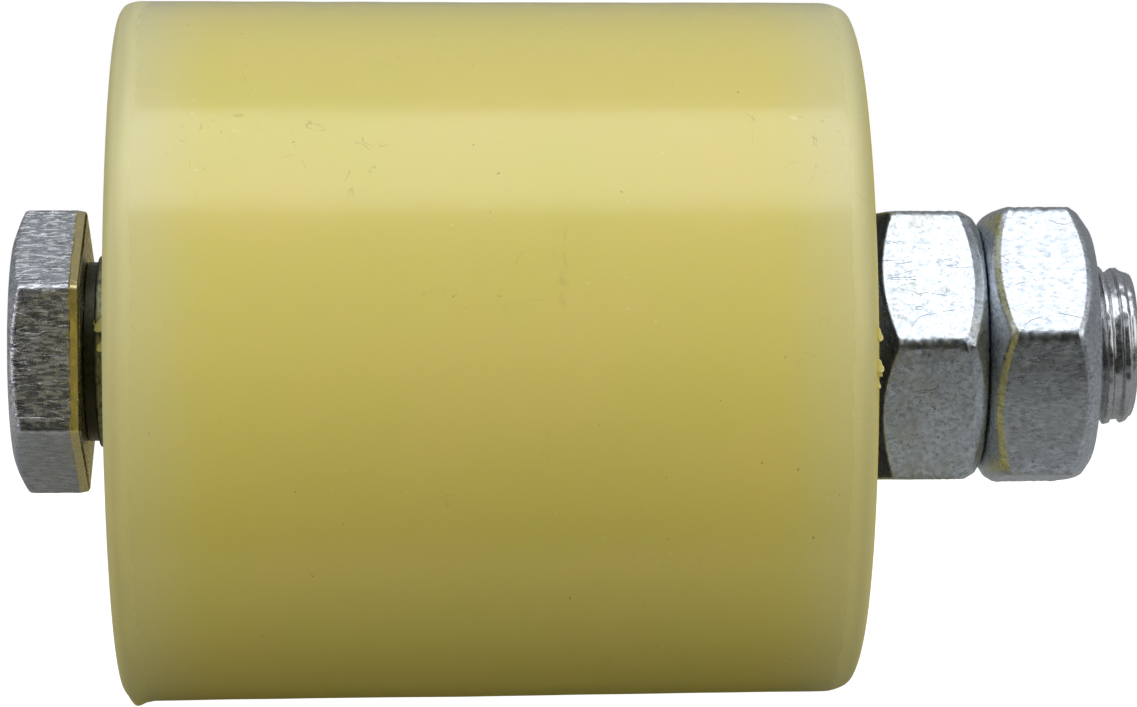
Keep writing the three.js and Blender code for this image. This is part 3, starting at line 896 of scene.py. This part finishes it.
# Each nut's chamfers are worn in their own way: narrow beside the roller, wide where the nuts meet
inner_nut = nut_part(
    INNER_NUT,
    FIRST_INNER_NUT_CORNER,
    start_chamfer={"face_share": 0.965, "degrees": 35, "band": 0.2, "band_depth": 0.15},
    end_chamfer={"face_share": 0.90, "degrees": 31, "band": 0.75, "band_depth": 0.45},
    seed=41,
)
add_piece(
    "jam_nut_beside_roller", [inner_nut], [inner_nut_zinc], "axle", ["inner_jam_nut"]
)
outer_nut = nut_part(
    OUTER_NUT,
    FIRST_OUTER_NUT_CORNER,
    start_chamfer={"face_share": 0.90, "degrees": 31, "band": 0.55, "band_depth": 0.35},
    end_chamfer={"face_share": 0.88, "degrees": 35, "band": 0.45, "band_depth": 0.25},
    seed=51,
)
add_piece(
    "jam_nut_outside", [outer_nut], [outer_nut_zinc], "axle", ["outer_jam_nut"]
)

# Each sleeve's name, the CAD node that it stands for, its outside corners and their rounds
SLEEVES = (
    (
        "stepped_collar", "head_collar",
        [(6.45, -28.75), (6.45, -27.95), (6.9, -27.95), (6.9, -25.05)], [0.08, 0.06, 0.3, 0.1],
    ),
    ("plain_collar", "nut_collar", [(8.0, 25.05), (8.0, 27.45)], [0.3, 0.3]),
    ("spacer_tube", "bearing_spacer", [(8.0, -14.95), (8.0, 14.95)], [0.25, 0.25]),
)
for name, node, corners, rounds in SLEEVES:
    add_piece(name, [tube_part(corners, rounds)], [collar_steel], "axle", [node])

# Shavings caught on the collar beside the bolt's head
collar_flakes = [
    flake_part((6.4, -27.6, 2.4), (0.5, 0.1, -0.9), (0.3, 0.9, 0.1), 1.5, 0.8, 0.5),
    flake_part((6.75, -27.3, 0.9), (0.5, 0.1, -0.9), (0.3, 0.9, 0.1), 1.4, 1.0, 0.6),
]
add_piece("collar_shavings", collar_flakes, [nylon], "axle")

# ---- Floor, world and lights ------------------------------------------------------------------------

MIRRORED_BOX_RADIANCE = 2.05
FLOOR_HEIGHT = -25.75
FLOOR_HALF = 3000

corner = FLOOR_HALF * MM
floor_outline = [(-corner, -corner), (corner, -corner), (corner, corner), (-corner, corner)]
floor_mesh = bpy.data.meshes.new("floor")
floor_mesh.from_pydata([(x, y, FLOOR_HEIGHT * MM) for x, y in floor_outline], [], [(0, 1, 2, 3)])
floor = bpy.data.objects.new("floor", floor_mesh)
bpy.context.scene.collection.objects.link(floor)


def floor_material():
    """A floor that the camera sees as white paper, and that the object's own surfaces see dimmer.

    Soft light from it is stronger beside the roller than in its shade, and its reflection is a grey
    that darkens out in front, where the studio is dark.
    """
    material = bpy.data.materials.new("pale_floor")
    material.use_nodes = True
    nodes = Nodes(material.node_tree)
    nodes.tree.nodes.remove(nodes.tree.nodes["Principled BSDF"])
    place = nodes.tree.nodes.new("ShaderNodeTexCoord").outputs["Object"]
    x, y, _ = nodes.split(place)
    paper = nodes.tree.nodes.new("ShaderNodeAddShader")
    nodes.link(nodes.plain_shader("ShaderNodeEmission", (1, 1, 1), 0.98), paper.inputs[0])
    nodes.link(nodes.plain_shader("ShaderNodeBsdfDiffuse", (0.3, 0.3, 0.3)), paper.inputs[1])
    brighter_beside = nodes.spread(nodes.math("ABSOLUTE", y), 22 * MM, 36 * MM, 0.24, 0.56)
    soft = nodes.plain_shader("ShaderNodeEmission", (1.0, 0.95, 0.52), brighter_beside)
    in_front = nodes.spread(x, 22.5 * MM, 29.5 * MM, 0.43, 0.02)
    mirrored = nodes.plain_shader("ShaderNodeBsdfDiffuse", in_front)
    lighting = nodes.by_ray("Glossy", mirrored, soft)
    surface = nodes.by_ray("Camera", paper.outputs[0], lighting)
    nodes.link(surface, nodes.tree.nodes["Material Output"].inputs["Surface"])
    return material


floor_mesh.materials.append(floor_material())


def studio_world():
    """White to the camera. The object sees a studio that is brighter above and dark in front."""
    world = bpy.data.worlds.new("studio")
    world.use_nodes = True
    nodes = Nodes(world.node_tree)
    nodes.tree.nodes.clear()
    direction = nodes.tree.nodes.new("ShaderNodeTexCoord").outputs["Generated"]
    toward_x, toward_y, toward_z = nodes.split(direction)
    overhead = nodes.spread(toward_z, -0.1, 0.9, 0.27, 0.33)
    in_front = nodes.spread(toward_x, 0.76, 0.96, 1.0, 0.17)
    level = nodes.math("MULTIPLY", overhead, in_front)
    # Reflections also show the large softbox over the camera, from 46 to 84 degrees up
    rise = nodes.math("ARCTAN2", toward_z, toward_x)
    box_low = nodes.spread(rise, math.radians(45), math.radians(47.5))
    box_high = nodes.spread(rise, math.radians(83), math.radians(85.5), 1.0, 0.0)
    box_wide = nodes.spread(nodes.math("ABSOLUTE", toward_y), 0.60, 0.64, 1.0, 0.0)
    box = nodes.math("MULTIPLY", nodes.math("MULTIPLY", box_low, box_high), box_wide)
    mirrored_box = nodes.math("MULTIPLY", box, nodes.is_ray("Glossy"))
    level = nodes.math("ADD", level, nodes.math("MULTIPLY", mirrored_box, MIRRORED_BOX_RADIANCE))
    white = nodes.plain_shader("ShaderNodeBackground", (1, 1, 1), 1.0)
    surround = nodes.plain_shader("ShaderNodeBackground", (0.915, 0.95, 1.0), level)
    output = nodes.tree.nodes.new("ShaderNodeOutputWorld")
    nodes.link(nodes.by_ray("Camera", white, surround), output.inputs["Surface"])
    return world


bpy.context.scene.world = studio_world()


def add_softbox(name, distance, azimuth, elevation, width, height, radiance, colour, mirrored):
    """A rectangular softbox that faces the roller. azimuth runs from the camera's side towards +Y."""
    light = bpy.data.lights.new(name, "AREA")
    light.shape = "RECTANGLE"
    light.size = width * MM
    light.size_y = height * MM
    light.energy = radiance * math.pi * light.size * light.size_y
    light.color = colour
    lamp = bpy.data.objects.new(name, light)
    bpy.context.scene.collection.objects.link(lamp)
    azimuth, elevation = math.radians(azimuth), math.radians(elevation)
    place = Vector(
        (
            math.cos(elevation) * math.cos(azimuth),
            math.cos(elevation) * math.sin(azimuth),
            math.sin(elevation),
        )
    )
    lamp.location = place * distance * MM
    lamp.rotation_euler = (-place).to_track_quat("-Z", "Y").to_euler()
    lamp.visible_camera = False
    lamp.visible_glossy = mirrored


WHITE = (1, 1, 1)
WARM = (1.0, 0.965, 0.62)
COOL = (0.78, 0.83, 1.0)
# Each light's name, distance, azimuth, elevation, width, height, radiance and colour, and whether
# reflections show it
SOFTBOXES = (
    ("key_softbox", 620, 0, 66.5, 900, 460, 1.95, COOL, False),
    ("front_fill", 700, 0, 7, 1000, 640, 1.30, WARM, False),
    ("back_fill", 700, 180, 12, 1000, 300, 1.6, WARM, False),
    ("left_softbox", 700, -62, 12, 420, 520, 1.4, WHITE, True),
    ("right_softbox", 700, 62, 12, 420, 520, 1.4, WHITE, True),
)
for softbox in SOFTBOXES:
    add_softbox(*softbox)
